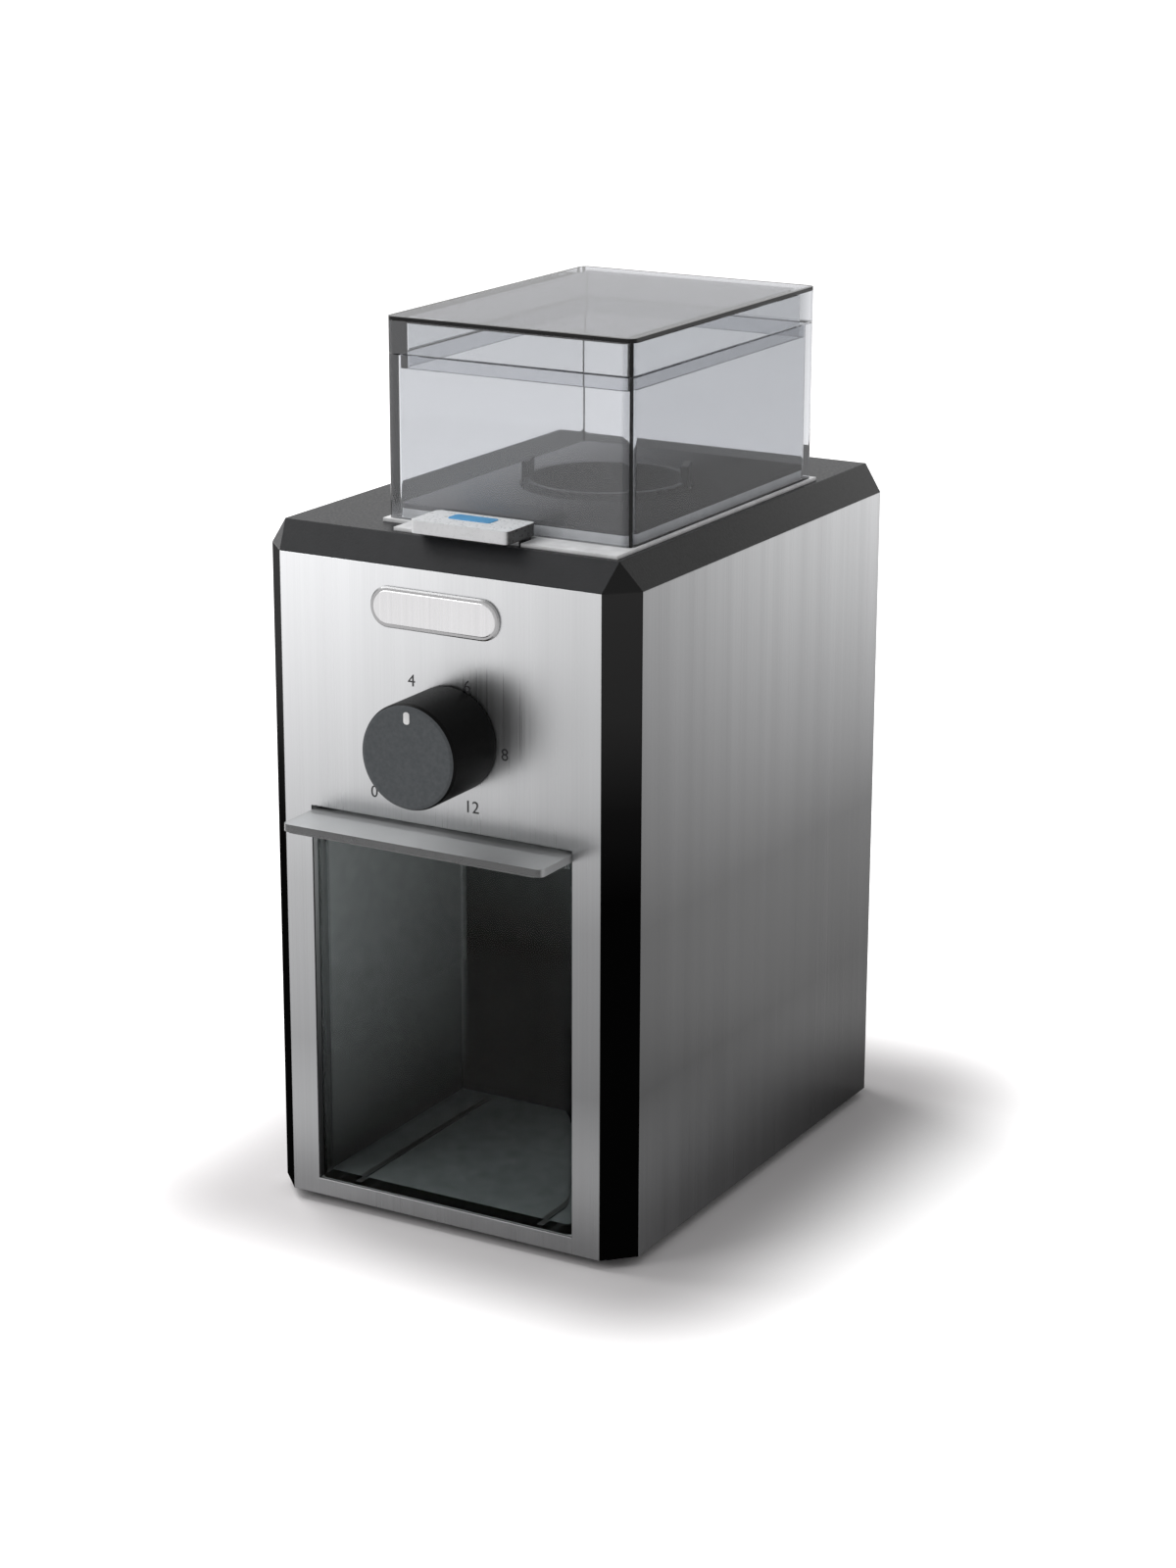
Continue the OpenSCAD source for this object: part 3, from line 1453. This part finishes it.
module motor_upper_bracket() {
    color("#9fa2a6") at_motor() {
        bracket(upper_bracket_z, upper_bracket_z, bolt_ring);
        around(4, bolt_ring, 45) tube(3.6, bolt_r + bolt_fit, stack_z + stack_h, upper_bracket_z + e);
        // tabs for the brush holders and the ring that carries the gearbox
        around(2, motor_bush_r + 5) translate([0, 0, upper_bracket_z]) block(8, brush_w + 4, bracket_t);
        tube(motor_case_r - 1, motor_bush_r + 2, upper_bracket_z + bracket_t - e, case_z0);
    }
}

module motor_bushes() {
    color("#a07a3c") at_motor() {
        for (z = [lower_bracket_z, upper_bracket_z]) {
            tube(motor_bush_r, motor_shaft_r + run_fit, z, z + bracket_cup_h);
        }
    }
}

// Insulated brush holders that hang from the upper bracket
module brush_holders() {
    z = commutator_z + commutator_h / 2;
    color("#5b3a1e") at_motor() for (a = [0, 180]) {
        rotate([0, 0, a]) difference() {
            union() {
                translate([commutator_r + 9, 0, z - brush_w / 2 - 1.5]) block(14, brush_w + 4, brush_w + 3);
                translate([commutator_r + 4, 0, z + brush_w / 2 + 1]) {
                    block(4, brush_w + 4, upper_bracket_z - z - brush_w / 2 - 1);
                }
            }
            translate([commutator_r + 8, 0, z - brush_w / 2]) block(20, brush_w, brush_w);
        }
    }
}

module carbon_brushes() {
    z = commutator_z + commutator_h / 2;
    color("#2b2a29") at_motor() for (a = [0, 180]) {
        rotate([0, 0, a]) difference() {
            translate([commutator_r + 5.3, 0, z - brush_w / 2 + 0.1]) block(10.4, brush_w - 0.2, brush_w - 0.2);
            rod(commutator_r + run_fit, z - brush_w, z + brush_w);
        }
    }
}

module motor_bolts() {
    color("#a9abad") at_motor() around(4, bolt_ring, 45) {
        rod(bolt_r, lower_bracket_z - 1, upper_bracket_z + bracket_t + 3);
        rod(3.2, lower_bracket_z - 2.2, lower_bracket_z);
        translate([0, 0, upper_bracket_z + bracket_t]) cylinder(r = 3.4, h = 2.2, $fn = 6);
    }
}

// Rubber mounts with the screws that hold the motor to the base posts
module motor_mounts() {
    color("#303133") at_motor() around(4, mount_ring, 45) {
        tube(5, pilot_r + 0.1, lower_bracket_z - mount_h, lower_bracket_z);
        rod(2.1, lower_bracket_z, lower_bracket_z + bracket_t);
        rod(4.2, lower_bracket_z + bracket_t, lower_bracket_z + bracket_t + 1.6);
    }
}

// ---------- electrics ----------

module control_board() {
    color("#2f6b3a") difference() {
        union() {
            translate([board_x, board_y, board_z]) block(1.6, board_d, board_h);
            for (dy = [-18, 18]) {
                for (dz = [6, board_h - 6]) {
                    translate([board_x, board_y + dy, board_z + dz]) rotate([0, 90, 0]) {
                        translate([0, 0, -standoff_h]) cylinder(r = 3, h = standoff_h);
                    }
                }
            }
        }
        for (dy = [-18, 18]) {
            for (dz = [6, board_h - 6]) {
                translate([board_x, board_y + dy, board_z + dz]) rotate([0, 90, 0]) {
                    translate([0, 0, -3]) cylinder(r = 1.2, h = 6);
                }
            }
        }
    }
}

// Relay, film capacitor, electrolytic capacitor, varistor and terminal block
module board_components() {
    face_x = board_x + 0.8;
    color("#22579a") translate([face_x, board_y - 14, board_z + 46]) cube([10, 13, 19]);
    color("#b99a2c") translate([face_x, board_y + 4, board_z + 48]) cube([8, 7, 18]);
    color("#26262a") translate([face_x, board_y + 8, board_z + 30]) rotate([0, 90, 0]) {
        cylinder(r = 5, h = 11);
    }
    color("#3a7a8c") translate([face_x, board_y - 10, board_z + 32]) rotate([0, 90, 0]) {
        cylinder(r = 4.5, h = 4);
    }
    color("#3f8f4a") for (i = [0 : 3]) {
        translate([face_x, board_y - 15 + i * 7.6, board_z + 10]) difference() {
            cube([9, 7.4, 10]);
            translate([5, 3.7, 5]) rotate([0, 90, 0]) cylinder(r = 2, h = 6);
        }
    }
}

// Bushing in the rear cover that the cord passes through
module cord_gland() {
    inside = 9;
    flange_t = 1.6;
    nut_y = rear_y - rear_t - gland_nut_t;
    color("#1f2022") translate([gland_x, 0, gland_z]) difference() {
        union() {
            rod_y(gland_bore_r + gland_wall, rear_y - rear_t - inside, rear_y + 1);
            rod_y(gland_bore_r + gland_wall + 1.5, rear_y, rear_y + flange_t);
            translate([0, rear_y + flange_t, 0]) rotate([-90, 0, 0]) {
                cylinder(r1 = gland_bore_r + 3.2, r2 = gland_bore_r + 2, h = gland_reach - flange_t);
            }
            rod_y(gland_bore_r + gland_wall + 0.5, nut_y, nut_y + gland_nut_t);
        }
        rod_y(gland_bore_r, rear_y - rear_t - inside - 1, rear_y + gland_reach + 1);
    }
}

// Puts a sub-part into the overall frame
module placed() {
    translate([0, origin_shift, 0]) children();
}

placed() chassis();
placed() front_panel();
placed() left_panel();
placed() right_panel();
placed() rear_cover();
placed() top_cover();
placed() base_plate();
placed() rubber_feet();
placed() housing_screws();
placed() bay_liner();
placed() ground_container();
placed() container_lid();
placed() interlock_switch();
placed() hopper_collar();
placed() hopper_floor();
placed() hopper();
placed() hopper_lid();
placed() start_button();
placed() button_spring();
placed() switch_plunger();
placed() start_switch();
placed() selector_knob();
placed() timer_shaft();
placed() timer_nut();
placed() timer_body();
placed() grind_adjuster();
placed() burr_carrier();
placed() upper_burr();
placed() lower_burr();
placed() burr_hub();
placed() burr_nut();
placed() burr_shaft();
placed() burr_bushes();
placed() grinding_chamber();
placed() chamber_seal();
placed() coffee_chute();
placed() gearbox_case();
placed() gearbox_cover();
placed() burr_screws();
placed() burr_gear();
placed() idler_gear();
placed() idler_pin();
placed() motor_pinion();
placed() motor_shaft();
placed() rotor_core();
placed() rotor_winding();
placed() commutator();
placed() cooling_fan();
placed() motor_stator();
placed() field_coils();
placed() motor_lower_bracket();
placed() motor_upper_bracket();
placed() motor_bushes();
placed() brush_holders();
placed() carbon_brushes();
placed() motor_bolts();
placed() motor_mounts();
placed() control_board();
placed() board_components();
placed() cord_gland();
